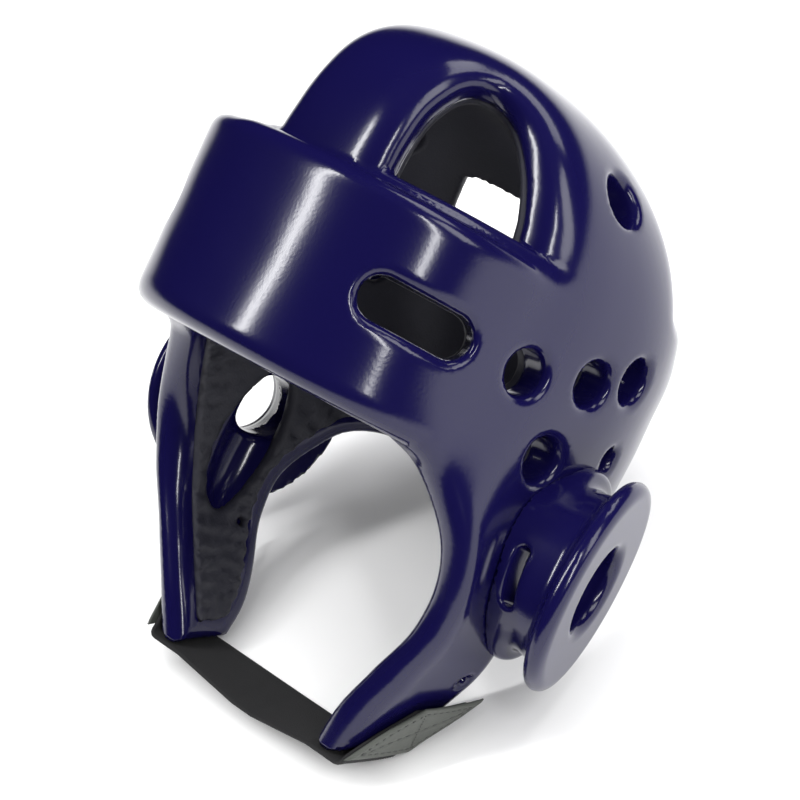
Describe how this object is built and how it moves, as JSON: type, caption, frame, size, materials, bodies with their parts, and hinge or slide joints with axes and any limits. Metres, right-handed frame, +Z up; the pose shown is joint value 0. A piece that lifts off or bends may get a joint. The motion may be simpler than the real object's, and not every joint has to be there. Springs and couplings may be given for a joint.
{
  "type": "taekwondo headgear",
  "caption": "Dipped foam taekwondo helmet with a thick brow band, vent openings, raised ear cups, cheek guards and a webbing chin strap, pitched back as it rests.",
  "frame": {"origin": "on the floor, below the middle of the bounding box", "axes": "+Z up from the floor it rests on, +X to the wearer's left, -Y to the front, with the face looking up by 58 degrees"},
  "size_m": [0.2794, 0.249, 0.2389],
  "materials": {
    "vinyl": "glossy dipped vinyl skin on foam",
    "lining": "matte, gathered at its edges",
    "webbing": "elastic webbing",
    "patch": "satin, box and cross stitched"
  },
  "bodies": {
    "root": {"foam_shell": "vinyl", "lining": "lining", "ear_cup_left": "vinyl", "ear_cup_right": "vinyl", "chin_strap": "webbing", "strap_patch_left": "patch", "strap_patch_right": "patch"}
  },
  "joints": []
}
